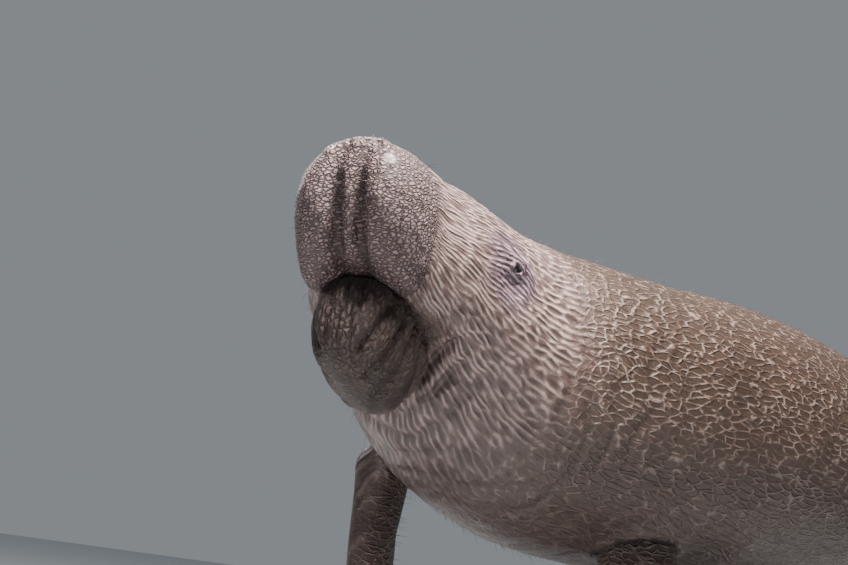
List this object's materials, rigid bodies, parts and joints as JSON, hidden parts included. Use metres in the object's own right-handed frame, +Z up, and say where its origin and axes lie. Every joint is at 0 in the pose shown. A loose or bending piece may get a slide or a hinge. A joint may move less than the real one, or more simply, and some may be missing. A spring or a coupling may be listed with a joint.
{
  "type": "manatee display model on a stand",
  "caption": "Life-size West Indian manatee held at rest with its head raised and turned, both flippers hanging, on a flat base with short rods.",
  "frame": {"origin": "The centre of the underside of the stand's base.", "axes": "+X runs from the head back to the tail, -Y is the animal's left side, +Z is up."},
  "size_m": [2.9807, 0.7362, 1.1457],
  "materials": {
    "skin": "wrinkled grey-brown skin, pebbled on the muzzle",
    "eye": "wet, nearly black",
    "nail": "dull horn",
    "stand_base": "satin dark grey",
    "stand_rod": "brushed"
  },
  "bodies": {
    "root": {"muzzle": "skin", "head": "skin", "lower_jaw": "skin", "neck": "skin", "torso": "skin", "tail_stock": "skin", "tail_paddle": "skin", "flipper_left": "skin", "flipper_right": "skin", "eye_left": "eye", "eye_right": "eye", "nail_left_1": "nail", "nail_left_2": "nail", "nail_left_3": "nail", "nail_right_1": "nail", "nail_right_2": "nail", "nail_right_3": "nail", "stand_base": "stand_base", "stand_rod_front": "stand_rod", "stand_rod_rear": "stand_rod"}
  },
  "joints": []
}
